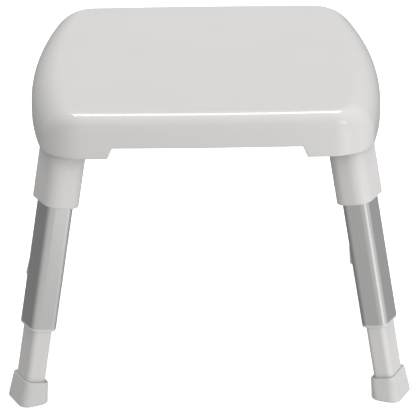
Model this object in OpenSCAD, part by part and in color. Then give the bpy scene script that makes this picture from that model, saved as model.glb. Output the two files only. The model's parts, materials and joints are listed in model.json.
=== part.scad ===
// Height-adjustable shower stool: a moulded seat on four splayed telescopic legs.
// Millimetres, +Z up, front towards -Y, origin on the floor under the middle of the seat.
// "Left" and "right" are as seen from the front, so left is -X.

/* [Seat] */
// Width of the seat across its bowed sides
seat_w = 489; // [475:1:500]
// Depth of the seat, front to back
seat_d = 508; // [495:1:514]
// Height of the seat above the floor at the lowest setting
seat_h = 420; // [415:1:425]
// How far each side bows out beyond its corners
side_bow = 31; // [20:1:36]
// How far the front and the back bow out
front_bow = 6; // [3:1:10]
// Radius of the corners seen from above
corner_r = 63; // [55:1:70]
// Wall thickness of the seat moulding
seat_wall = 3.5; // [3:0.1:3.8]
// Depth of the skirt at the corners and along the sides
skirt_h = 59.5; // [56:0.5:62]
// Height of the shallow cut-out in the front and back skirt
cutout_h = 15; // [8:1:20]
// Half width of the cut-out along its upper edge
cutout_half_w = 125; // [100:1:128]
// Width over which the cut-out's ends sweep down
cutout_sweep = 9; // [5:1:12]
// How far in the rolled edge begins: along the sides, along the front
roll_in = [40, 22];
// How far down the rolled edge ends: along the sides, along the front
roll_down = [44, 24];

/* [Legs] */
// Place of the leg axis on the floor, for the rear right leg
foot_at = [251.7, 225.6];
// Place of the leg axis at the height head_z
head_at = [193.7, 192.8];
// Height at which head_at is given
head_z = 357.2; // [350:0.1:365]
// Direction that the legs' wide outer faces look, from the X axis
face_azimuth = 25; // [24:1:27]
// Length of the whole height adjustment
adjust_range = 150; // [125:25:150]
// Distance between two settings
adjust_step = 25; // [25:25:50]

/* [Tubes and telescopic legs] */
// Half thickness and half width of the aluminium tube
tube_half = [19.05, 24.7];
// Corner radius of the aluminium tube
tube_r = 9.8; // [9:0.1:10]
// Wall of the aluminium tube
tube_wall = 1.8; // [1.6:0.1:2]
// Where the tube starts and ends, along the leg axis
tube_span = [110, 390];
// Half thickness and half width of the sliding inner leg
inner_half = [14, 21.5];
// Corner radius of the inner leg
inner_r = 7; // [6:0.1:7.5]
// Wall of the inner leg
inner_wall = 2.5; // [2.2:0.1:2.8]
// Where the inner leg starts and ends, along the leg axis
inner_span = [9, 369];
// Clearance all round a sliding piece
slide_gap = 0.3; // [0.3:0.05:0.4]

/* [Sockets] */
// Half thickness and half width of the socket under each corner
socket_half = [25.1, 36];
// Corner radius of the socket
socket_r = 19.3; // [18:0.1:20]
// Height of the socket's lower end, along the leg axis
socket_start = 287.2; // [285:0.1:290]
// Underside and top of the socket's flange, above the floor
flange_z = [392, 397];

/* [Buttons] */
// Radius of the locking button
button_r = 4.5; // [4:0.1:4.6]
// Place of the button along the leg axis at the lowest setting
button_at = 279; // [279:1:280]

/* [Feet] */
// Half thickness and half width of the foot's upper rim
rim_half = [17.2, 27];
// Where the foot's upper rim is, along the leg axis
rim_at = 32.3; // [30:0.1:34]
// Half thickness and half width of the foot's sole
sole_half = [21.1, 31];
// Corner radius of the sole
sole_r = 14.2; // [13:0.1:15]

/* [Hidden] */
$fn = 64;

front_left = [-1, -1];
front_right = [1, -1];
rear_left = [-1, 1];
rear_right = [1, 1];
corners = [front_left, front_right, rear_left, rear_right];

half_w = seat_w / 2;
half_d = seat_d / 2;
eps = 0.01;

// ---- Leg axis -------------------------------------------------------------
splay = foot_at - head_at;
splay_azimuth = atan2(splay[1], splay[0]);
splay_tilt = atan2(norm(splay), head_z);
leg_turn = face_azimuth - splay_azimuth;
// where the leg axis passes through the flange
flange_at = foot_at - splay * flange_z[0] / head_z;

// ---- Sockets, screws and their bosses --------------------------------------
// screws about the leg axis: x towards the outside of the leg, y across it
flange_screws = [[0, 45], [0, -45], [-36, 16], [-36, -16]];
screw_r = 2;
screw_hole_r = 2.3;
screw_head_r = 4.2;
screw_head_h = 2.6;
screw_drive_r = 2.2;
screw_bite = 13;
boss_r = 5.5;
flange_lip = 8;
tube_screw_at = 380;
socket_floor = 4;
pocket_half = [11, 3];
pocket_at = 30;
seat_clearance = 0.4;

// ---- Button, its spring and the guide head of the inner leg ----------------
button_gap = 0.4;
button_reach = 3.5;
button_flange_r = 6.5;
button_flange_h = 1.5;
peg_r = 3;
peg_h = 3;
spring_r = 4.2;
spring_wire = 0.8;
guide_h = 20;
bush_lip = 3.2;
bush_spigot = 12;
inner_floor = 5;
foot_base = 2.5;

// ---- Ribs under the seat ---------------------------------------------------
rib_t = 3;
rib_bottom = 400;
rib_at = [-175, -125, -75, -25, 25, 75, 125, 175];

// ===== Seat outline ==========================================================
// Eight tangent arcs: two side bows, the front and back bows and four corners.
side_r = (pow(half_d, 2) + pow(side_bow, 2)) / (2 * side_bow);
front_r = (pow(half_w, 2) + pow(front_bow, 2)) / (2 * front_bow);
side_c = [half_w - side_r, 0];
front_c = [0, half_d - front_r];
// the corner's centre lies where its arc touches both bows from inside
c_gap = norm(front_c - side_c);
c_along = (pow(side_r - corner_r, 2) - pow(front_r - corner_r, 2) + c_gap * c_gap) / (2 * c_gap);
c_off = sqrt(pow(side_r - corner_r, 2) - c_along * c_along);
c_dir = (front_c - side_c) / c_gap;
corner_c = side_c + c_along * c_dir + c_off * [-c_dir[1], c_dir[0]];
side_end = atan2(corner_c[1] - side_c[1], corner_c[0] - side_c[0]);
front_end = atan2(corner_c[1] - front_c[1], corner_c[0] - front_c[0]);

function arc_points(centre, r, from, to, steps) =
    [for (i = [0 : steps - 1]) let (a = from + (to - from) * i / steps)
        [centre[0] + r * cos(a), centre[1] + r * sin(a), a]];

// one quarter, each point with the direction of its outward normal
quarter = concat(
    arc_points(side_c, side_r, 0, side_end, 5),
    arc_points(corner_c, corner_r, side_end, front_end, 10),
    arc_points(front_c, front_r, front_end, 90, 4));
n_quarter = len(quarter);

function quadrant(p, sx, sy, normal) = [sx * p[0], sy * p[1], normal];
outline = concat(
    quarter,
    [for (i = [0 : n_quarter - 1]) let (p = i == 0 ? [0, half_d, 90] : quarter[n_quarter - i])
        quadrant(p, -1, 1, 180 - p[2])],
    [for (p = quarter) quadrant(p, -1, -1, 180 + p[2])],
    [for (i = [0 : n_quarter - 1]) let (p = i == 0 ? [0, half_d, 90] : quarter[n_quarter - i])
        quadrant(p, 1, -1, -p[2])]);
n_outline = len(outline);

// rolled edge: an elliptical quarter turn whose two radii change round the seat
roll_steps = 7;
function blend(pair, normal) = norm([pair[0] * cos(normal), pair[1] * sin(normal)]);
function roll_point(p, turn, inset) =
    let (back = inset + blend(roll_in, p[2]) * (1 - cos(turn)),
        drop = inset + blend(roll_down, p[2]) * (1 - sin(turn)))
    [p[0] - back * cos(p[2]), p[1] - back * sin(p[2]), seat_h - drop];

function ring_faces(rings) =
    [for (k = [0 : rings - 2], i = [0 : n_outline - 1], half = [0, 1])
        let (j = (i + 1) % n_outline, a = k * n_outline, b = (k + 1) * n_outline)
        half == 0 ? [a + i, b + j, a + j] : [a + i, b + i, b + j]];

// flat fan that closes a ring of the outline round its middle point
function fan_faces(first, middle, upwards) =
    [for (i = [0 : n_outline - 1]) let (j = (i + 1) % n_outline)
        upwards ? [first + j, first + i, middle] : [first + i, first + j, middle]];

// the seat as a closed body, shrunk by inset and reaching down to the height base
module seat_body(inset, base) {
    rings = roll_steps + 2;
    points = concat(
        [for (p = outline) [p[0] - inset * cos(p[2]), p[1] - inset * sin(p[2]), base]],
        [for (k = [0 : roll_steps], p = outline) roll_point(p, 90 * k / roll_steps, inset)],
        [[0, 0, base], [0, 0, seat_h - inset]]);
    polyhedron(points, concat(
        fan_faces(0, rings * n_outline, false),
        ring_faces(rings),
        fan_faces((rings - 1) * n_outline, rings * n_outline + 1, true)));
}

// cut-out in the skirt, with ends that sweep down on a half cosine
sweep_steps = 8;
function sweep_point(side, s) =
    [side * (cutout_half_w + cutout_sweep * s), cutout_h * (1 + cos(180 * s)) / 2];
module skirt_cutout() {
    base = seat_h - skirt_h;
    translate([0, 0, base])
    rotate([90, 0, 0])
    linear_extrude(height = seat_d + 20, center = true)
    polygon(concat(
        [for (i = [0 : sweep_steps]) sweep_point(1, 1 - i / sweep_steps)],
        [for (i = [0 : sweep_steps]) sweep_point(-1, i / sweep_steps)],
        [[-cutout_half_w - cutout_sweep, -10], [cutout_half_w + cutout_sweep, -10]]));
}

// ===== Placing ================================================================
module at_corner(corner) {
    mirror([corner[0] < 0 ? 1 : 0, 0, 0])
    mirror([0, corner[1] < 0 ? 1 : 0, 0])
    children();
}

// leg axis along Z, the outer face of the leg towards +X
module on_leg(corner) {
    at_corner(corner)
    translate([foot_at[0], foot_at[1], 0])
    rotate([0, 0, splay_azimuth])
    rotate([0, -splay_tilt, 0])
    rotate([0, 0, leg_turn])
    children();
}

// level frame on the leg axis at the flange, turned as the leg is
module on_flange(corner) {
    at_corner(corner)
    translate([flange_at[0], flange_at[1], 0])
    rotate([0, 0, face_azimuth])
    children();
}

module rounded_rect(half, r) {
    square([2 * half[0] - 2 * r, 2 * half[1]], center = true);
    square([2 * half[0], 2 * half[1] - 2 * r], center = true);
    for (x = [-1, 1], y = [-1, 1])
        translate([x * (half[0] - r), y * (half[1] - r)]) circle(r);
}

module bar(half, r, from, to) {
    translate([0, 0, from]) linear_extrude(height = to - from) rounded_rect(half, r);
}

function grow(half, by) = [half[0] + by, half[1] + by];

// round hole or pin across the leg, from x0 to x1 at height t
module cross_pin(x0, x1, t, r) {
    translate([x0, 0, t]) rotate([0, 90, 0]) cylinder(h = x1 - x0, r = r);
}

// ===== Seat ====================================================================
module seat_ribs() {
    rib_h = seat_h - rib_bottom;
    for (x = rib_at)
        translate([x - rib_t / 2, -half_d, rib_bottom]) cube([rib_t, seat_d, rib_h]);
    for (y = rib_at)
        translate([-half_w, y - rib_t / 2, rib_bottom]) cube([seat_w, rib_t, rib_h]);
}

module seat_bosses() {
    for (corner = corners, at = flange_screws)
        on_flange(corner) translate([at[0], at[1], flange_z[1]])
            cylinder(h = seat_h - flange_z[1], r = boss_r);
}

module screw_pilots() {
    for (corner = corners, at = flange_screws)
        on_flange(corner) translate([at[0], at[1], flange_z[1] - 1])
            cylinder(h = screw_bite + 1, r = screw_r);
}

// room for the sockets, where they come close to the skirt
module socket_room() {
    for (corner = corners)
        intersection() {
            on_leg(corner) bar(grow(socket_half, seat_clearance), socket_r + seat_clearance, 300, 420);
            translate([-half_w, -half_d, 0]) cube([seat_w, seat_d, flange_z[1]]);
        }
}

module seat_shell() {
    color("whitesmoke")
    difference() {
        seat_body(0, seat_h - skirt_h);
        difference() {
            seat_body(seat_wall, seat_h - skirt_h - 5);
            seat_ribs();
            seat_bosses();
        }
        socket_room();
        screw_pilots();
        skirt_cutout();
    }
}

// ===== Sockets ==================================================================
module flange_outline() {
    rounded_rect([flange_lip, 45 + flange_lip], flange_lip - eps);
    translate([-22, 0]) rounded_rect([22, 16 + flange_lip], flange_lip - eps);
}

module socket(corner) {
    color("whitesmoke")
    difference() {
        union() {
            intersection() {
                on_leg(corner) bar(socket_half, socket_r, socket_start, 420);
                translate([-half_w, -half_d, 0]) cube([seat_w, seat_d, flange_z[1]]);
            }
            on_flange(corner) translate([0, 0, flange_z[0]])
                linear_extrude(height = flange_z[1] - flange_z[0]) flange_outline();
        }
        on_leg(corner) bar(tube_half, tube_r, 270, tube_span[1]);
        // pockets at both ends keep the walls even
        for (side = [-1, 1])
            on_leg(corner) translate([0, side * pocket_at, 0])
                bar(pocket_half, pocket_half[1] - eps, socket_start + socket_floor, 420);
        for (at = flange_screws)
            on_flange(corner) translate([at[0], at[1], flange_z[0] - 1])
                cylinder(h = flange_z[1] - flange_z[0] + 2, r = screw_hole_r);
        on_leg(corner) cross_pin(-40, 0, tube_screw_at, screw_hole_r);
    }
}

// ===== Fasteners =================================================================
// pan-head screw, head downwards, with the underside of the head at z = 0
module pan_screw(length) {
    difference() {
        union() {
            cylinder(h = length, r = screw_r);
            translate([0, 0, -screw_head_h]) cylinder(h = screw_head_h, r1 = screw_head_r - 0.8, r2 = screw_head_r);
        }
        translate([0, 0, -screw_head_h - 1]) cylinder(h = 2.6, r = screw_drive_r, $fn = 6);
    }
}

module socket_screws() {
    color("silver")
    for (corner = corners, at = flange_screws)
        on_flange(corner) translate([at[0], at[1], flange_z[0]])
            pan_screw(flange_z[1] - flange_z[0] + screw_bite - 1);
}

module tube_screws() {
    color("silver")
    for (corner = corners)
        on_leg(corner) translate([-socket_half[0], 0, tube_screw_at])
            rotate([0, 90, 0]) pan_screw(socket_half[0] - tube_half[0] + tube_wall + 1.5);
}

// ===== Legs ======================================================================
hole_spots = [for (d = [0 : adjust_step : adjust_range]) button_at - d];

module tube(corner) {
    color("silver")
    on_leg(corner)
    difference() {
        bar(tube_half, tube_r, tube_span[0], tube_span[1]);
        bar(grow(tube_half, -tube_wall), tube_r - tube_wall, tube_span[0] - 1, tube_span[1] + 1);
        for (t = hole_spots) cross_pin(-30, 0, t, button_r + button_gap);
        cross_pin(-30, 0, tube_screw_at, screw_r);
    }
}

module bush(corner) {
    color("whitesmoke")
    on_leg(corner)
    difference() {
        union() {
            bar(tube_half, tube_r, tube_span[0] - bush_lip, tube_span[0]);
            bar(grow(tube_half, -tube_wall), tube_r - tube_wall, tube_span[0] - 1, tube_span[0] + bush_spigot);
        }
        bar(grow(inner_half, slide_gap), inner_r + slide_gap, tube_span[0] - bush_lip - 1,
            tube_span[0] + bush_spigot + 1);
    }
}

module inner_leg(corner) {
    head_half = grow(tube_half, -tube_wall - slide_gap);
    head_r = tube_r - tube_wall - slide_gap;
    core_half = grow(inner_half, -inner_wall);
    color("whitesmoke")
    on_leg(corner)
    difference() {
        union() {
            bar(inner_half, inner_r, inner_span[0], inner_span[1]);
            bar(head_half, head_r, inner_span[1] - guide_h, inner_span[1]);
        }
        difference() {
            bar(core_half, inner_r - inner_wall, inner_span[0] + inner_floor, inner_span[1] + 1);
            cross_pin(core_half[0] - peg_h, core_half[0] + 1, button_at, peg_r);
        }
        cross_pin(-30, 0, button_at, button_r + button_gap);
    }
}

// place of the button's flange, just inside the wall of the inner leg
flange_x = -inner_half[0] + inner_wall + slide_gap;

module button(corner) {
    color("lightgray")
    on_leg(corner)
    union() {
        cross_pin(-tube_half[0] - button_reach, flange_x + eps, button_at, button_r);
        cross_pin(flange_x, flange_x + button_flange_h, button_at, button_flange_r);
        cross_pin(flange_x, flange_x + button_flange_h + peg_h, button_at, peg_r);
    }
}

module spring(corner) {
    color("silver")
    on_leg(corner)
    difference() {
        cross_pin(flange_x + button_flange_h, inner_half[0] - inner_wall, button_at, spring_r);
        cross_pin(-20, 20, button_at, spring_r - spring_wire);
    }
}

module foot(corner) {
    color("gainsboro")
    difference() {
        hull() {
            on_leg(corner) bar(rim_half, 8, rim_at - 3, rim_at, $fn = 32);
            at_corner(corner) translate([foot_at[0], foot_at[1], 0]) rotate([0, 0, face_azimuth])
                bar(sole_half, sole_r, 0, foot_base, $fn = 32);
        }
        on_leg(corner) bar(inner_half, inner_r, inner_span[0], rim_at + 5);
    }
}

seat_shell();
socket(front_left);  // front_left_socket
socket(front_right);  // front_right_socket
socket(rear_left);  // rear_left_socket
socket(rear_right);  // rear_right_socket
tube(front_left);  // front_left_tube
tube(front_right);  // front_right_tube
tube(rear_left);  // rear_left_tube
tube(rear_right);  // rear_right_tube
bush(front_left);  // front_left_bush
bush(front_right);  // front_right_bush
bush(rear_left);  // rear_left_bush
bush(rear_right);  // rear_right_bush
inner_leg(front_left);  // front_left_inner_leg
inner_leg(front_right);  // front_right_inner_leg
inner_leg(rear_left);  // rear_left_inner_leg
inner_leg(rear_right);  // rear_right_inner_leg
button(front_left);  // front_left_button
button(front_right);  // front_right_button
button(rear_left);  // rear_left_button
button(rear_right);  // rear_right_button
spring(front_left);  // front_left_spring
spring(front_right);  // front_right_spring
spring(rear_left);  // rear_left_spring
spring(rear_right);  // rear_right_spring
foot(front_left);  // front_left_foot
foot(front_right);  // front_right_foot
foot(rear_left);  // rear_left_foot
foot(rear_right);  // rear_right_foot
socket_screws();
tube_screws();
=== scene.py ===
# %% [markdown]
# # A shower stool with telescopic legs
# A moulded plastic seat stands on four splayed legs. Each leg is a plastic socket under the seat, an
# aluminium tube, a bush in the tube's lower end, a sliding inner leg and a rubber foot. This notebook
# loads the engineering model as a fixed frame and dresses it: it keeps the tubes, inner legs and screws,
# and models the rounded mouldings again as smooth surfaces, because their soft edges are what one sees.

# %% Load the frame
import json
import bpy
import numpy as np
from mathutils import Matrix, Vector


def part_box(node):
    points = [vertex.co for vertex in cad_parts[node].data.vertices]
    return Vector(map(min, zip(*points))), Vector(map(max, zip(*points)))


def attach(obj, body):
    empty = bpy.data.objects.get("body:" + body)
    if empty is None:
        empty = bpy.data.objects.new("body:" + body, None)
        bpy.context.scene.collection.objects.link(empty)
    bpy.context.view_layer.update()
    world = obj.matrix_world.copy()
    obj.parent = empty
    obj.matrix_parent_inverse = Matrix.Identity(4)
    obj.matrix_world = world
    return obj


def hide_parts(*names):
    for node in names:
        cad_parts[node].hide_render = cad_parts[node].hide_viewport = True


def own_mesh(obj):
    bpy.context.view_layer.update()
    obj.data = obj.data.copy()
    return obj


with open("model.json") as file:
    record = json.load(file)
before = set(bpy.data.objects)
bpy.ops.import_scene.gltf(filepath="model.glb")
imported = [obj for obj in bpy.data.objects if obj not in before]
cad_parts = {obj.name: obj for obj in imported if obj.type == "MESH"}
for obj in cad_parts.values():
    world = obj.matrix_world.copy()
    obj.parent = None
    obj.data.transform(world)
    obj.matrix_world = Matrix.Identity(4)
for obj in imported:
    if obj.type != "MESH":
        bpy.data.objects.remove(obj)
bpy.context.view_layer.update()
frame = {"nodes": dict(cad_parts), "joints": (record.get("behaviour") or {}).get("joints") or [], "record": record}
joints = {joint["name"]: joint for joint in frame["joints"]}
mounts = {mount["name"]: mount for mount in frame["record"]["mounts"]}
CORNERS = ["front_left", "front_right", "rear_left", "rear_right"]
MM = 0.001

# %% [markdown]
# ## Where the legs are
# Every leg piece is drawn upright at the origin and then laid along its leg. The leg's own axes come from
# the frame: the slide joint runs down the leg, the button is pressed outwards, and the sole's mount is
# where the leg's axis meets the floor. Working from the joints means that nothing here is fitted by eye.


# %% Leg axes from the joints
def unit(vector):
    """The vector divided by its own length."""
    return vector / np.linalg.norm(vector)


def leg_axes(corner):
    """Foot point and the three unit axes of a leg: outwards, across and up along the leg."""
    up = -unit(np.array(joints[corner + "_leg_slide"]["axis"], float))
    outwards = unit(np.array(joints[corner + "_button_press"]["axis"], float))
    foot = np.array(mounts[corner + "_sole"]["pos_m"], float)
    return foot, np.stack([outwards, np.cross(up, outwards), up])


def floor_axes(corner):
    """The same as leg_axes, but level: outwards and across lie flat, and up is vertical."""
    foot, axes = leg_axes(corner)
    outwards = unit(axes[0] * [1, 1, 0])
    return foot, np.stack([outwards, np.cross([0, 0, 1], outwards), [0, 0, 1]])


def placed(points_mm, place):
    """Points in millimetres on a leg's own axes, carried into the frame in metres."""
    origin, axes = place
    return origin + (np.asarray(points_mm) * MM) @ axes


for corner in CORNERS:
    print(corner, "leg leans", round(float(np.degrees(np.arccos(leg_axes(corner)[1][2][2]))), 2), "degrees")

# %% [markdown]
# ## Turning arrays of points into pieces
# All new shapes are grids: rows of points that are joined to their neighbours by quads. A row may close on
# itself, as a section does, and the stack of rows may close too, as a ring's does. A grid that ends in
# a pole is closed there by a fan. Several grids may share one mesh when one moulding holds them all.


# %% Grids, poles and meshes
def grid_faces(rows, columns, closed_rows=False):
    """Quads between row i and row i + 1 of a grid whose rows close on themselves.
    With closed_rows, the last row also joins the first one."""
    i, j = np.meshgrid(np.arange(rows if closed_rows else rows - 1), np.arange(columns), indexing="ij")
    below, above = i * columns, (i + 1) % rows * columns
    after = (j + 1) % columns
    return np.stack([below + j, below + after, above + after, above + j], -1).reshape(-1, 4)


def pole_faces(row_start, columns, pole, last):
    """A fan from one row of a grid to a pole point, facing outwards at the first or the last row."""
    j = np.arange(columns)
    a, b = row_start + j, row_start + (j + 1) % columns
    return np.stack([a, b, np.full(columns, pole)] if last else [b, a, np.full(columns, pole)], -1)


class Moulding:
    """Collects grids of points in metres, and makes one smooth mesh piece of them."""

    def __init__(self):
        self.points, self.faces, self.count = [], [], 0

    def add(self, points, faces):
        """Adds points, and blocks of faces that count from the first of them."""
        self.points.append(np.asarray(points, float).reshape(-1, 3))
        self.faces += [(face + self.count).tolist() for face in faces]
        self.count += len(self.points[-1])

    def add_grid(self, rows, closed_rows=False):
        """Adds rows x columns x 3 points. An open stack of rows is closed at its two ends by poles."""
        n_rows, columns = rows.shape[:2]
        if closed_rows:
            self.add(rows, [grid_faces(n_rows, columns, True)])
            return
        points = np.concatenate([rows.reshape(-1, 3), rows[:1].mean(1), rows[-1:].mean(1)])
        self.add(points, [grid_faces(n_rows, columns),
                          pole_faces(0, columns, n_rows * columns, False),
                          pole_faces((n_rows - 1) * columns, columns, n_rows * columns + 1, True)])

    def make(self, name, body, material, nodes):
        """Makes the mesh piece, which rides on a body and stands for the CAD nodes that it replaces."""
        mesh = bpy.data.meshes.new(name)
        mesh.from_pydata(np.concatenate(self.points).tolist(), [], [f for block in self.faces for f in block])
        mesh.validate()
        mesh.polygons.foreach_set("use_smooth", np.ones(len(mesh.polygons), bool))
        piece = bpy.data.objects.new(name, mesh)
        bpy.context.scene.collection.objects.link(piece)
        mesh.materials.append(material)
        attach(piece, body)
        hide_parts(*nodes)
        print(name, len(mesh.polygons), "faces")
        return piece


# %% [markdown]
# ## Sections and profiles
# The leg pieces are mouldings and extrusions with one section each: a rectangle with round corners. A piece
# is a stack of such sections whose size changes along the leg. The sequence of sizes is the piece's
# profile, as on a lathe, and its own corners are softened so that every edge has a small real radius.


# %% Rounded rectangles and softened profiles
CORNER_STEPS = 11


def section(half_x, half_y, radius):
    """Rectangle with round corners, anticlockwise: four quarter circles of CORNER_STEPS points. The inputs
    may be columns, one value for each section of a stack, which gives stacked sections."""
    half_x, half_y, radius = (np.asarray(v, float).reshape(-1, 1, 1) for v in (half_x, half_y, radius))
    signs = np.array([[1, 1], [-1, 1], [-1, -1], [1, -1]])
    angle = (np.arange(4)[:, None] + np.linspace(0, 1, CORNER_STEPS)) * np.pi / 2
    x = signs[:, :1] * (half_x - radius) + radius * np.cos(angle)
    y = signs[:, 1:] * (half_y - radius) + radius * np.sin(angle)
    return np.stack([x, y], -1).reshape(len(x), -1, 2)


def softened(profile, cut, steps=5, closed=True):
    """Rounds the corners of a profile, given as rows of numbers: near each corner the line leaves its side
    at the distance cut and follows a parabola to the next side. An open profile keeps its two ends."""
    corner = np.asarray(profile, float)
    before, after = np.roll(corner, 1, 0) - corner, np.roll(corner, -1, 0) - corner
    cut = np.broadcast_to(np.asarray(cut, float), len(corner))[:, None]
    start = corner + before * np.minimum(cut / np.linalg.norm(before, axis=1, keepdims=True), 0.5)
    end = corner + after * np.minimum(cut / np.linalg.norm(after, axis=1, keepdims=True), 0.5)
    s = np.linspace(0, 1, steps)[:, None, None]
    arc = (1 - s) ** 2 * start + 2 * s * (1 - s) * corner + s ** 2 * end
    arc = arc.transpose(1, 0, 2)
    if closed:
        return arc.reshape(-1, corner.shape[1])
    return np.concatenate([corner[:1], arc[1:-1].reshape(-1, corner.shape[1]), corner[-1:]])


def stacked(profile):
    """A stack of sections from rows of (half x, half y, corner radius, height), as points in millimetres."""
    outline = section(profile[:, 0], profile[:, 1], profile[:, 2])
    height = np.broadcast_to(profile[:, 3, None, None], outline.shape[:2] + (1,))
    return np.concatenate([outline, height], -1)


TUBE = np.array([19.05, 24.7, 9.8])
INNER_LEG = np.array([14, 21.5, 7])
SOCKET = np.array([25.1, 36, 19.3])
TUBE_WALL = 1.8
TUBE_END = 110


def ring(base, grow, height):
    """One profile row: the section base grown by grow all round, at a height along the leg."""
    return [*(base + grow), height]


print("one section has", section(*TUBE).shape[1], "points")

# %% [markdown]
# ## Writing shaders as sums
# A finish is a formula: a base value, plus a little noise, times a mask. Drawing that as nodes by hand hides
# the formula, so a small class wraps a socket and lets Python's operators add the Math nodes. Any other node
# comes from one method that takes its type, its settings and its inputs.


# %% A socket that can be added and multiplied
class Value:
    """One output socket of a finish, on which +, - and * add Math nodes."""

    def __init__(self, finish, socket):
        self.finish, self.socket = finish, socket

    def _maths(self, operation, a, b):
        return self.finish.node("ShaderNodeMath", {"operation": operation}, {0: a, 1: b})

    def __add__(self, other):
        return self._maths("ADD", self, other)

    def __sub__(self, other):
        return self._maths("SUBTRACT", self, other)

    def __rsub__(self, other):
        return self._maths("SUBTRACT", other, self)

    def __mul__(self, other):
        return self._maths("MULTIPLY", self, other)

    __radd__, __rmul__ = __add__, __mul__


class Finish:
    """A material with one Principled shader, whose constants are set on its own sockets."""

    def __init__(self, name, **constants):
        self.material = bpy.data.materials.new(name)
        self.material.use_nodes = True
        self.tree = self.material.node_tree
        self.shader = self.tree.nodes["Principled BSDF"]
        for socket, value in constants.items():
            self.shader.inputs[socket.replace("_", " ")].default_value = value

    def node(self, kind, settings=None, inputs=None, output=0):
        """Adds a node, sets its settings, fills its inputs with numbers or links, returns one output."""
        new = self.tree.nodes.new(kind)
        for setting, value in (settings or {}).items():
            setattr(new, setting, value)
        for key, value in (inputs or {}).items():
            self.feed(new.inputs[key], value)
        return Value(self, new.outputs[output])

    def feed(self, socket, value):
        """Links a value to a socket, or sets the socket to a number, colour or vector."""
        if isinstance(value, Value):
            self.tree.links.new(value.socket, socket)
        else:
            socket.default_value = value

    def set(self, socket, value):
        """Feeds one socket of the shader."""
        self.feed(self.shader.inputs[socket], value)

    def place(self, scale=(1, 1, 1), turn=(0, 0, 0)):
        """Object coordinates in metres, turned and then stretched."""
        spot = self.node("ShaderNodeTexCoord", output="Object")
        turned = self.node("ShaderNodeMapping", {"vector_type": "POINT"}, {"Vector": spot, "Rotation": turn})
        return self.node("ShaderNodeMapping", {"vector_type": "POINT"}, {"Vector": turned, "Scale": scale})

    def noise(self, vector, scale, detail=3.0, roughness=0.55):
        """Soft random pattern from 0 to 1, with scale cycles to the metre."""
        return self.node("ShaderNodeTexNoise", None,
                         {"Vector": vector, "Scale": scale, "Detail": detail, "Roughness": roughness})

    def tint(self, factor, low, high):
        """A colour between low and high, by factor."""
        return self.node("ShaderNodeMix", {"data_type": "RGBA"}, {0: factor, 6: (*low, 1), 7: (*high, 1)}, 2)

    def bump(self, height, distance):
        """Relief of a distance in metres, drawn by a height from 0 to 1."""
        self.set("Normal", self.node("ShaderNodeBump", None,
                                     {"Height": height, "Distance": distance, "Strength": 1.0}))


# %% [markdown]
# ## White moulded plastic
# The seat, sockets, bushes and inner legs are injection-moulded polypropylene. It is not pure white: the
# colour drifts by a percent or two over a hand's width, the gloss is uneven where hands and cloths polish
# it, and the mould leaves a very fine grain. Noises at different scales say that.


# %% Moulded plastic
def moulded_plastic(name, low, high, gloss, grain):
    """Plastic of a colour between low and high, a mean roughness gloss and a grain in metres."""
    finish = Finish(name, IOR=1.49)
    spot = finish.place()
    drift = finish.noise(spot, 9.0, 2.0)
    polish = finish.noise(spot, 38.0, 4.0, 0.6)
    finish.set("Base Color", finish.tint(drift, low, high))
    finish.set("Roughness", gloss + (polish - 0.5) * 0.08)
    finish.bump(finish.noise(spot, 900.0, 2.0) * 0.6 + finish.noise(spot, 60.0, 2.0) * 0.4, grain)
    return finish.material


seat_plastic = moulded_plastic("seat plastic", (0.59, 0.582, 0.572), (0.62, 0.612, 0.602), 0.16, 0.00002)
leg_plastic = moulded_plastic("leg plastic", (0.6, 0.585, 0.578), (0.63, 0.615, 0.608), 0.34, 0.00004)
button_plastic = moulded_plastic("button plastic", (0.36, 0.37, 0.38), (0.4, 0.41, 0.42), 0.42, 0.00005)
print("plastics:", [plastic.name for plastic in (seat_plastic, leg_plastic, button_plastic)])


# %% [markdown]
# ## Satin anodised aluminium
# The tubes are extruded, brushed along their length and anodised. So the fine lines run along the leg, and
# the pattern must follow each leg's own direction: the object coordinates are turned until the leg stands
# upright, and then squeezed along it, which draws a round noise out into long lines.


# %% Anodised tubes, one finish for each direction
def leg_turn(corner):
    """Euler angles that turn the frame so that the leg's up axis becomes Z."""
    return tuple(Matrix(leg_axes(corner)[1].tolist()).to_euler("XYZ"))


def anodised_aluminium(corner):
    """Grey metal with fine lines along one leg."""
    finish = Finish("anodised aluminium " + corner, Metallic=1.0)
    spot = finish.place((1, 1, 0.012), leg_turn(corner))
    lines = finish.noise(spot, 1400.0, 3.0, 0.7)
    broad = finish.noise(spot, 160.0, 2.0)
    cloud = finish.noise(finish.place(), 14.0, 3.0)
    shade = lines * 0.45 + broad * 0.35 + cloud * 0.2
    finish.set("Base Color", finish.tint(shade, (0.47, 0.47, 0.465), (0.58, 0.58, 0.575)))
    finish.set("Roughness", 0.2 + lines * 0.12 + cloud * 0.05)
    finish.bump(lines, 0.00002)
    return finish.material


tube_metal = {corner: anodised_aluminium(corner) for corner in CORNERS}
print("metal finishes:", len(tube_metal))


# %% [markdown]
# ## Rubber and plain steel
# The feet are soft grey rubber: matt, slightly mottled, with a fine bloom. The screws and springs are
# stainless steel, where a little unevenness in the gloss is all that shows at their size.


# %% Foot rubber and steel
def soft_rubber():
    """Matt grey, mottled, with a fine bloom."""
    finish = Finish("foot rubber", IOR=1.52, Specular_IOR_Level=0.35)
    spot = finish.place()
    mottle = finish.noise(spot, 70.0, 5.0, 0.65)
    finish.set("Base Color", finish.tint(mottle, (0.52, 0.52, 0.51), (0.62, 0.62, 0.61)))
    finish.set("Roughness", 0.55 + finish.noise(spot, 160.0, 3.0) * 0.2)
    finish.bump(finish.noise(spot, 1500.0, 3.0) * 0.5 + mottle * 0.5, 0.00008)
    return finish.material


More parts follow.
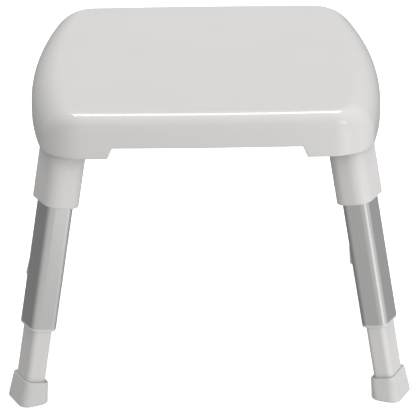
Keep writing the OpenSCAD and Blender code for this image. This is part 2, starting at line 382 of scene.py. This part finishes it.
def plain_steel():
    """Grey metal whose gloss is a little uneven."""
    finish = Finish("stainless steel", Metallic=1.0)
    spot = finish.place()
    finish.set("Base Color", finish.tint(finish.noise(spot, 240.0), (0.46, 0.46, 0.46), (0.6, 0.6, 0.6)))
    finish.set("Roughness", 0.22 + finish.noise(spot, 700.0) * 0.16)
    finish.bump(finish.noise(spot, 1800.0), 0.00002)
    return finish.material


foot_rubber = soft_rubber()
steel = plain_steel()
print("more finishes:", foot_rubber.name, "and", steel.name)

# %% [markdown]
# ## The seat's outline
# Seen from above, the seat is four bows, two gentle and two nearly straight, with round corners tangent to
# both. A quarter of it is three arcs: part of the side bow, the corner and part of the front bow. The other
# quarters are its mirror images. Points crowd together where the cut-out's ends sweep down.

# %% Outline from eight tangent arcs
seat_low, seat_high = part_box("seat_shell")
HALF_W, HALF_D, SEAT_TOP = (value / MM for value in seat_high)
SIDE_BOW, FRONT_BOW, CORNER_R = 31.0, 6.0, 63.0
SKIRT_END = seat_low[2] / MM
CUTOUT_H, CUTOUT_HALF_W, CUTOUT_SWEEP = 15.0, 125.0, 9.0
SEAT_WALL = 3.5
side_r = (HALF_D ** 2 + SIDE_BOW ** 2) / (2 * SIDE_BOW)
front_r = (HALF_W ** 2 + FRONT_BOW ** 2) / (2 * FRONT_BOW)
side_c = np.array([HALF_W - side_r, 0])
front_c = np.array([0, HALF_D - front_r])


def touching_centre():
    """Centre of the corner arc: it lies where circles about both bows' centres, smaller by the corner's
    radius, cross."""
    r1, r2 = side_r - CORNER_R, front_r - CORNER_R
    gap = np.linalg.norm(front_c - side_c)
    along = (r1 ** 2 - r2 ** 2 + gap ** 2) / (2 * gap)
    direction = (front_c - side_c) / gap
    aside = np.array([-direction[1], direction[0]])
    return side_c + along * direction + np.sqrt(r1 ** 2 - along ** 2) * aside


corner_c = touching_centre()
side_end = np.arctan2(*(corner_c - side_c)[::-1])
front_end = np.arctan2(*(corner_c - front_c)[::-1])


def arc(centre, radius, angles):
    """Rows of x, y and the direction of the outward normal, along an arc."""
    return np.stack([centre[0] + radius * np.cos(angles), centre[1] + radius * np.sin(angles), angles], -1)


def seat_outline():
    """The whole outline, anticlockwise from the middle of the right side."""
    end_x = corner_c[0] + CORNER_R * np.cos(front_end)
    sweep = np.linspace(CUTOUT_HALF_W + CUTOUT_SWEEP + 1, CUTOUT_HALF_W - 1, 25)
    x = np.concatenate([np.linspace(end_x, sweep[0] + 6, 5), sweep, np.linspace(sweep[-1] - 6, 0, 16)])
    quarter = np.concatenate([arc(side_c, side_r, np.linspace(0, side_end, 24, endpoint=False)),
                              arc(corner_c, CORNER_R, np.linspace(side_end, front_end, 26, endpoint=False)),
                              arc(front_c, front_r, np.arccos(x / front_r))])
    other = quarter[::-1] * [-1, 1, -1] + [0, 0, np.pi]
    half = np.concatenate([quarter, other[1:-1]])
    return np.concatenate([half, [[-HALF_W, 0, np.pi]], half[1:] * [-1, -1, 1] + [0, 0, np.pi]])


outline = seat_outline()
OUT_N = np.stack([np.cos(outline[:, 2]), np.sin(outline[:, 2])], -1)
print("seat outline:", len(outline), "points, box", np.ptp(outline[:, :2], axis=0).round(1))

# %% [markdown]
# ## The seat
# The seat is one hollow moulding of even wall. Its edge rolls over in a quarter of an ellipse that is wide
# and lazy along the sides, where the thighs rest, and tight along the front and back. The whole skin is
# one grid: from the middle of the underside out to the wall, down inside the skirt, round its lip, up the
# outside, over the roll and back to the middle of the top.

# %% Rolled edge and skirt
ROLL_IN = np.array([40.0, 22.0])
ROLL_DOWN = np.array([44.0, 24.0])
LIP_STEPS = 7


def blended(pair):
    """Changes smoothly round the outline from the side's value to the front's, as an ellipse's radius."""
    return np.hypot(pair[0] * OUT_N[:, 0], pair[1] * OUT_N[:, 1])


def shrunk(back, height):
    """A ring of the seat: the outline moved inwards by back, at a height. Both may differ round it."""
    return np.concatenate([outline[:, :2] - OUT_N * np.reshape(back, (-1, 1)) * np.ones((len(outline), 1)),
                           np.broadcast_to(np.reshape(height, (-1, 1)), (len(outline), 1))], -1)


def rolled(turn, inset):
    """Ring of the rolled edge: turn goes from 0 on the skirt to a quarter turn on the flat top."""
    return shrunk(inset + blended(ROLL_IN) * (1 - np.cos(turn)),
                  SEAT_TOP - inset - blended(ROLL_DOWN) * (1 - np.sin(turn)))


def skirt_edge():
    """Height of the skirt's lower edge: raised by the cut-out, with ends that sweep down on half a cosine."""
    s = np.clip((np.abs(outline[:, 0]) - CUTOUT_HALF_W) / CUTOUT_SWEEP, 0, 1)
    return SKIRT_END + CUTOUT_H * (1 + np.cos(np.pi * s)) / 2


def wall(inset, foot, share):
    """Ring of the skirt: share goes from 0 at the lip to 1 where the rolled edge starts."""
    return shrunk(inset, foot + (SEAT_TOP - inset - blended(ROLL_DOWN) - foot) * share)


def drawn_in(loop, share):
    """A flat ring of the seat, drawn in towards the middle to a share of its size."""
    return loop * [share, share, 1]


def seat_rows():
    """All the rings of the skin, from the middle of the underside to the middle of the top."""
    lip_r = SEAT_WALL / 2
    edge = skirt_edge() + lip_r
    quarter_turn = np.linspace(0, 1, 19) * np.pi / 2
    inner_roll = [rolled(turn, SEAT_WALL) for turn in quarter_turn[::-2]]
    outer_roll = [rolled(turn, 0) for turn in quarter_turn]
    lip = [shrunk(lip_r * (1 + np.cos(a)), edge - lip_r * np.sin(a))
           for a in np.linspace(0, np.pi, LIP_STEPS)]
    return np.stack([drawn_in(inner_roll[0], share) for share in (0.25, 0.5, 0.75)]
                    + inner_roll + [wall(SEAT_WALL, edge, s) for s in (0.66, 0.33)]
                    + lip + [wall(0, edge, s) for s in (0.25, 0.5, 0.75)]
                    + outer_roll + [drawn_in(outer_roll[-1], share) for share in (0.75, 0.5, 0.25)])


seat = Moulding()
seat.add_grid(seat_rows() * MM)
print("seat skin:", seat.count, "points")

# %% [markdown]
# ## Ribs and bosses under the seat
# A flat plate would bend under a person, so the underside carries a grid of thin ribs and a hollow boss for
# each screw. A rib is a thin strip whose upper edge follows the inside of the skin, a little way into it, so
# that it has no gap along the rolled edge. They belong to the same moulding, so they share its mesh.

# %% Height of the skin above any point
RIB_T, RIB_END = 3.0, 400.0
RIB_PROBES = 801
RIB_AT = [-175, -125, -75, -25, 25, 75, 125, 175]


def skin_height(spots):
    """Height of the middle of the seat's wall above points (x, y). The nearest outline point gives the
    distance to the edge, along its normal, and the ellipse that the edge rolls over on."""
    spots = np.asarray(spots, float)
    gap = outline[:, :2] - spots[..., None, :]
    nearest = np.argmin((gap ** 2).sum(-1), -1)
    inwards = (np.take_along_axis(gap, nearest[..., None, None], -2)[..., 0, :] * OUT_N[nearest]).sum(-1)
    share = np.clip(1 - (inwards - SEAT_WALL / 2) / blended(ROLL_IN)[nearest], 0, 1)
    return SEAT_TOP - SEAT_WALL / 2 - blended(ROLL_DOWN)[nearest] * (1 - np.sqrt(1 - share ** 2))


print("skin over the middle:", skin_height([0, 0]), "mm")


def rib(at, along):
    """A rib at a distance from the middle, running along x (0) or y (1), as far as the skin allows. Its
    stations lie closer together towards its ends, as a sine does, where the skin curves down."""
    run = np.linspace(-1, 1, RIB_PROBES) * (HALF_W, HALF_D)[along]
    line = np.stack([run, np.full(RIB_PROBES, at)][:: 1 - 2 * along], -1)
    end = run[skin_height(line) > RIB_END + 2].max()
    s = end * np.sin(np.linspace(-1, 1, 41) * np.pi / 2)
    half = RIB_T / 2
    loop = np.array([[half, 1], [-half, 1], [-half * 0.9, 0.03],
                     [-half * 0.6, 0], [half * 0.6, 0], [half * 0.9, 0.03]])
    run, side = np.broadcast_arrays(s[:, None], at + loop[:, 0])
    spot = np.stack([run, side][:: 1 - 2 * along], -1)
    height = RIB_END + (skin_height(spot) - RIB_END) * loop[:, 1]
    return np.concatenate([spot, height[..., None]], -1)


for at in RIB_AT:
    seat.add_grid(rib(at, 1)[::-1] * MM)
    seat.add_grid(rib(at, 0) * MM)

# %% Screw bosses
FLANGE_Z = [392.0, 397.0]
FLANGE_SCREWS = [[0, 45], [0, -45], [-36, 16], [-36, -16]]
BOSS = [[5.5, 1], [5.5, 0], [2.1, 0], [2.1, 1]]


def turned(profile, steps=28):
    """Lathe: rows of (radius, height) turned round the Z axis, as points in millimetres."""
    angle = np.arange(steps) * 2 * np.pi / steps
    profile = np.asarray(profile, float)
    return np.stack([profile[:, :1] * np.cos(angle), profile[:, :1] * np.sin(angle),
                     np.broadcast_to(profile[:, 1:], (len(profile), steps))], -1)


def flange_place(corner):
    """Level axes at the point where the leg's axis passes the underside of the socket's flange."""
    foot, axes = leg_axes(corner)
    return foot + axes[2] * FLANGE_Z[0] * MM / axes[2][2], floor_axes(corner)[1]


def boss(corner, spot):
    """A hollow boss, from just above the flange up into the skin, whose height there differs all round."""
    points = placed(turned(BOSS[::-1]) + [*spot, 0], flange_place(corner)) / MM
    share = np.array(BOSS[::-1])[:, 1:]
    points[..., 2] = FLANGE_Z[1] + 0.05 + (skin_height(points[..., :2]) - FLANGE_Z[1]) * share
    return points * MM


for corner in CORNERS:
    for spot in FLANGE_SCREWS:
        seat.add_grid(boss(corner, spot), closed_rows=True)
seat.make("moulded_seat", "stool", seat_plastic, ["seat_shell"])

# %% [markdown]
# ## Sockets
# A socket is a deep collar that wraps the tube and carries a flange screwed to the seat. Its outside is the
# tube's shape grown fatter and rounder, its lower rim is softened, and its top is cut level by the flange.
# The cut is worked out point by point: each point of the top row rises along the leg until it is level.

# %% Sockets and their flanges
SOCKET_START = 287.2


def levelled(rows, from_row, to_row, height_mm, place):
    """Moves a range of rows along the leg, so that they lie on the level plane at height_mm."""
    axes = place[1]
    part = rows[from_row:to_row]
    part[..., 2] = (height_mm - part[..., 0] * axes[0][2] - part[..., 1] * axes[1][2]) / axes[2][2]


def socket_rows(place):
    """The wall of a socket as a closed loop: out round its lower rim, up, level across the top and back."""
    edge = softened([ring(TUBE, 0.15, SOCKET_START + 6), ring(TUBE, 0.15, SOCKET_START),
                     ring(SOCKET, 0, SOCKET_START), ring(SOCKET, 0, SOCKET_START + 6)],
                    [0, 0.8, 2.2, 0], 6, closed=False)
    tops = np.array([ring(SOCKET, 0, 0), ring(SOCKET, -0.6, 0), ring(TUBE, 0.15, 0)])
    rows = stacked(np.concatenate([edge, tops]))
    n = len(edge)
    levelled(rows, n, n + 1, FLANGE_Z[1] - 0.8, place)
    levelled(rows, n + 1, n + 3, FLANGE_Z[1] - 0.1, place)
    return rows


def plate(half, radius, inset):
    """A flat plate with softened edges, in the level frame of the flange."""
    top = FLANGE_Z[1] - FLANGE_Z[0] - inset
    base = np.array([*half, radius], float)
    edge = [ring(base, -3, inset), ring(base, 0, inset), ring(base, 0, top), ring(base, -3, top)]
    return stacked(softened(edge, [0, 0.7, 0.7, 0], 4, closed=False))


for corner in CORNERS:
    socket = Moulding()
    place, level = leg_axes(corner), flange_place(corner)
    socket.add_grid(placed(socket_rows(place), place), closed_rows=True)
    socket.add_grid(placed(plate([8, 53], 7.9, 0.0), level))
    socket.add_grid(placed(plate([22, 24], 7.9, 0.06) - [22, 0, 0], level))
    socket.make(corner + "_leg_socket", "stool", leg_plastic, [corner + "_socket"])

# %% [markdown]
# ## Tube bushes
# The bush closes the gap between the tube and the inner leg: a thin lip that shows below the tube, and
# a spigot pushed into it. One closed loop of sections makes the whole ring.

# %% Bushes
SLIDE_GAP = 0.3
bush_loop = [ring(TUBE, -0.1, TUBE_END - 3.2), ring(TUBE, -0.1, TUBE_END - 0.02),
             ring(TUBE, -TUBE_WALL, TUBE_END - 0.02), ring(TUBE, -TUBE_WALL, TUBE_END + 12),
             ring(INNER_LEG, SLIDE_GAP, TUBE_END + 12), ring(INNER_LEG, SLIDE_GAP, TUBE_END - 3.2)]
bush_profile = softened(bush_loop, [1.1, 0.3, 0.1, 0.3, 0.2, 0.6])
for corner in CORNERS:
    bush = Moulding()
    bush.add_grid(placed(stacked(bush_profile), leg_axes(corner)), closed_rows=True)
    bush.make(corner + "_tube_bush", "stool", leg_plastic, [corner + "_bush"])

# %% [markdown]
# ## Rubber feet
# A foot is a thick cap. Its sole lies flat on the floor while its rim is square to the leaning leg, so its
# wall is a loft between a level ring and a tilted one: each point goes straight from one to the other.
# Grooves round the sole grip wet tiles, and the edges of the rim are softened.

# %% Feet
SOLE = np.array([21.1, 31, 14.2])
RIM = np.array([17.2, 27, 8])
RIM_AT = 32.3
GROOVES = [0.34, 0.56, 0.78]


def sole_rows():
    """Level rings from the middle of the sole to its edge: shares of the outline, with grooves cut in."""
    shares, heights = [0.06], [0.0]
    for groove in GROOVES:
        shares += [groove - 0.045, groove - 0.035, groove + 0.035, groove + 0.045]
        heights += [0.0, 1.3, 1.3, 0.0]
    outer = section(*SOLE)[0]
    return np.stack([np.column_stack([outer * share, np.full(len(outer), height)])
                     for share, height in zip(shares, heights)])


def wall_rows(place, level):
    """The outer wall, as shares of the way from the ring on the floor to the rim, with soft edges."""
    shares = np.array([0, 0, 0.02, 0.06, 0.2, 0.4, 0.6, 0.8, 0.93, 0.985, 1.0, 1.0])
    inset = np.array([2.2, 0.9, 0.25, 0, 0, 0, 0, 0, 0, 0.2, 0.7, 1.4])
    low = placed(stacked(np.array([ring(SOLE, -i, 0) for i in inset])), level)
    high = placed(stacked(np.array([ring(RIM, -i, RIM_AT) for i in inset])), place)
    return low + (high - low) * shares[:, None, None]


for corner in CORNERS:
    place, level = leg_axes(corner), floor_axes(corner)
    inside = stacked(np.array([ring(INNER_LEG, 0.5, RIM_AT), ring(INNER_LEG, 0.05, RIM_AT - 0.8),
                               ring(INNER_LEG, 0.0, 9.1), ring(INNER_LEG, -4, 9.0)]))
    foot = Moulding()
    foot.add_grid(np.concatenate([placed(sole_rows(), level), wall_rows(place, level),
                                  placed(inside, place)]))
    foot.make(corner + "_rubber_foot", corner + "_leg", foot_rubber, [corner + "_foot"])

# %% [markdown]
# ## Locking buttons and their springs
# The button is a small domed plunger with a flange that keeps it in the leg. It is turned, like a lathe part,
# about the axis that it is pressed along. Behind it sits a coil spring: a round wire carried along a helix,
# drawn here at one length, though the real one flattens as the button goes in.

# %% Buttons
BUTTON_AT, BUTTON_TIP, BUTTON_FLANGE = 279.0, -22.55, -11.2


def across(points):
    """Points turned about Z, laid along the button's axis and lifted to its place on the leg."""
    return np.stack([points[..., 2], points[..., 0], points[..., 1] + BUTTON_AT], -1)


dome = [[4.5 * np.sin(a), BUTTON_TIP + 1.4 * (1 - np.cos(a))] for a in np.linspace(0.12, np.pi / 2, 8)]
stem = softened([dome[-1], [4.5, BUTTON_FLANGE], [6.5, BUTTON_FLANGE], [6.5, BUTTON_FLANGE + 1.5],
                 [3, BUTTON_FLANGE + 1.5], [3, BUTTON_FLANGE + 4.5], [0.5, BUTTON_FLANGE + 4.5]],
                [0, 0.1, 0.4, 0.4, 0.1, 0.5, 0], 4, closed=False)
button_profile = np.concatenate([dome, stem[1:]])
for corner in CORNERS:
    button = Moulding()
    button.add_grid(placed(across(turned(button_profile, 40)), leg_axes(corner)))
    button.make(corner + "_push_button", corner + "_button", button_plastic,
                [corner + "_button"])

# %% Springs
SPRING_R, WIRE_R, SPRING_TURNS = 3.75, 0.4, 7
SPRING_FROM, SPRING_TO = BUTTON_FLANGE + 1.5 + WIRE_R, 11.5 - WIRE_R


def spring_rows():
    """Helix of a round wire: each row is a small circle square to the wire, 24 rows for each turn."""
    turn = np.linspace(0, SPRING_TURNS, SPRING_TURNS * 24 + 1)[:, None] * 2 * np.pi
    around = (np.arange(8) / 8 * 2 * np.pi)[None]
    radius = SPRING_R + WIRE_R * np.cos(around)
    height = SPRING_FROM + (SPRING_TO - SPRING_FROM) * turn / turn[-1] - WIRE_R * np.sin(around)
    return np.stack([radius * np.cos(turn), radius * np.sin(turn), height], -1)


for corner in CORNERS:
    travel = joints[corner + "_button_press"]["range_m"][1] / MM
    place = leg_axes(corner)
    spring = Moulding()
    spring.add_grid(placed(across(spring_rows()), place))
    piece = spring.make(corner + "_button_spring", corner + "_leg", steel, [corner + "_spring"])
    length = 11.5 - (BUTTON_FLANGE + 1.5)
    tuple(placed([11.5, 0, BUTTON_AT], place))
    1 - travel / length
    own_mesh(piece)

# %% [markdown]
# ## Parts that stay as they were engineered
# The tubes with their rows of holes, the inner legs and the screws already have their true shapes. They only
# need their finishes.

# %% Finishes on the engineered parts
KEPT = {"_tube": tube_metal, "_inner_leg": {corner: leg_plastic for corner in CORNERS}}
for ending, finishes in KEPT.items():
    for corner in CORNERS:
        node = frame["nodes"][corner + ending]
        for slot in node.material_slots:
            slot.material = finishes[corner]
for name in ("socket_screws", "tube_screws"):
    for slot in frame["nodes"][name].material_slots:
        slot.material = steel
print("kept:", len(KEPT) * len(CORNERS) + 2, "CAD nodes")

# %% [markdown]
# ## The studio
# A pale floor, soft lights above and at the right front, and a room that is bright towards the front right
# and dark towards the back left. That gives the tubes bright and dark faces: metal shows nothing but the
# room. The floor glows a little, so no shadow stains it, and it is left out of reflections, which would
# make the tubes white. It is clear from below, so that the ribs under the seat can be looked at.

# %% Floor
FLOOR_HALF, FLOOR_GLOW = 6.0, 0.52
floor_mesh = bpy.data.meshes.new("floor")
floor_mesh.from_pydata([(-FLOOR_HALF, -FLOOR_HALF, 0), (FLOOR_HALF, -FLOOR_HALF, 0),
                        (FLOOR_HALF, FLOOR_HALF, 0), (-FLOOR_HALF, FLOOR_HALF, 0)], [], [(0, 1, 2, 3)])
floor = bpy.data.objects.new("floor", floor_mesh)
bpy.context.scene.collection.objects.link(floor)
floor_finish = Finish("floor", Roughness=0.7, Specular_IOR_Level=0.2,
                      Emission_Color=(1, 1, 1, 1), Emission_Strength=FLOOR_GLOW)
floor_finish.set("Base Color", floor_finish.tint(floor_finish.noise(floor_finish.place(), 3.0),
                                                 (0.94, 0.94, 0.94), (0.96, 0.96, 0.96)))
floor_finish.set("Alpha", 1 - floor_finish.node("ShaderNodeNewGeometry", output="Backfacing"))
floor_mesh.materials.append(floor_finish.material)
floor.visible_glossy = floor.visible_diffuse = False
print("floor:", 2 * FLOOR_HALF, "m square")

# %% Room
world = bpy.data.worlds.new("studio")
bpy.context.scene.world = world
world.use_nodes = True
BRIGHT_SIDE, DARK_ROOM, BRIGHT_ROOM = (0.5, -0.81, 0.3), 0.3, 0.87
PANEL_AT, PANEL_BRIGHTNESS = (0.94, -0.13, -0.31), 0.25


def room_node(kind, inputs, **settings):
    """Adds a node to the room's shader, and links or sets its inputs."""
    node = world.node_tree.nodes.new(kind)
    for setting, value in settings.items():
        setattr(node, setting, value)
    for key, value in inputs.items():
        if isinstance(value, bpy.types.NodeSocket):
            world.node_tree.links.new(value, node.inputs[key])
        else:
            node.inputs[key].default_value = value
    return node


direction = room_node("ShaderNodeTexCoord", {}).outputs["Generated"]


def towards(axis, start, end, low, high):
    """Brightness that rises smoothly from low to high as the direction turns towards an axis: start and end
    are the cosines of the angle between them."""
    product = room_node("ShaderNodeVectorMath", {0: direction, 1: axis}, operation="DOT_PRODUCT")
    limits = {"From Min": start, "From Max": end, "To Min": low, "To Max": high}
    return room_node("ShaderNodeMapRange", {"Value": product.outputs["Value"], **limits},
                     interpolation_type="SMOOTHSTEP").outputs[0]


walls = towards(BRIGHT_SIDE, -1.0, 0.8, DARK_ROOM, BRIGHT_ROOM)
panel = towards(PANEL_AT, 0.84, 1.0, 0.0, PANEL_BRIGHTNESS)
grey = room_node("ShaderNodeMath", {0: walls, 1: panel}, operation="ADD").outputs[0]
world.node_tree.links.new(grey, world.node_tree.nodes["Background"].inputs["Color"])
print("room: brightness", DARK_ROOM, "to", BRIGHT_ROOM)


# %% Soft lights
def soft_light(name, place, aim, width, height, brightness, mirrored=True):
    """A rectangular soft light at a place, turned towards a point. Its brightness is what one would see when
    looking at it, so a light may change size and keep its look; the watts follow from its area. One that
    isn't mirrored shows no reflection of itself in gloss."""
    light = bpy.data.lights.new(name, "AREA")
    light.shape, light.size, light.size_y = "RECTANGLE", width, height
    light.energy = brightness * width * height * np.pi
    lamp = bpy.data.objects.new(name, light)
    lamp.location = place
    lamp.rotation_euler = (Vector(aim) - Vector(place)).to_track_quat("-Z", "Y").to_euler()
    lamp.visible_glossy, lamp.visible_camera = mirrored, False
    bpy.context.scene.collection.objects.link(lamp)
    print("light:", name, round(light.energy, 1), "W")


soft_light("key from the right", (2.4, -2.2, 2.2), (0, 0, 0.3), 1.0, 1.0, 3.6)
soft_light("near light at the right front", (1.0, -1.2, 0.4), (0, -0.1, 0.25), 0.6, 1.2, 2.0, mirrored=False)
soft_light("low light at the right", (0.62, -0.74, 0.1), (0.25, -0.2, 0.25), 0.34, 0.5, 0.85)
soft_light("overhead", (0, 1.0, 3.0), (0, 0, 0.3), 2.3, 1.0, 6.9)
bpy.context.scene.view_settings.view_transform = "Standard"

# %% [markdown]
# ## The camera
# A long lens far back and well above the seat shows the top and both front legs with little perspective. Its
# place is given in the stool's own frame, and it is rolled by half a degree.

# %% Camera
CAMERA_BACK, CAMERA_UP, CAMERA_ASIDE = 3.3435, 1.526, 0.0019
PITCH_DOWN, YAW, ROLL = 21.79, 0.46, -0.54
SENSOR, FOCAL_SHARE = 36.0, 6.0026


def turn_about(axis, angle):
    """Turn by an angle in degrees about an axis."""
    return Matrix.Rotation(np.radians(angle), 4, axis)


def make_camera():
    """Camera in front of and above the origin, pitched down, turned and rolled."""
    data = bpy.data.cameras.new("camera")
    data.sensor_width = SENSOR
    data.lens = SENSOR * FOCAL_SHARE
    data.clip_end = 50
    camera = bpy.data.objects.new("camera", data)
    camera.matrix_world = (turn_about("Z", -YAW) @ Matrix.Translation((CAMERA_ASIDE, -CAMERA_BACK, CAMERA_UP))
                           @ turn_about("X", 90 - PITCH_DOWN) @ turn_about("Z", ROLL))
    bpy.context.scene.collection.objects.link(camera)
    bpy.context.scene.camera = camera
    place = [round(value, 3) for value in camera.matrix_world.translation]
    print("camera: lens", round(data.lens, 1), "mm at", place)


make_camera()
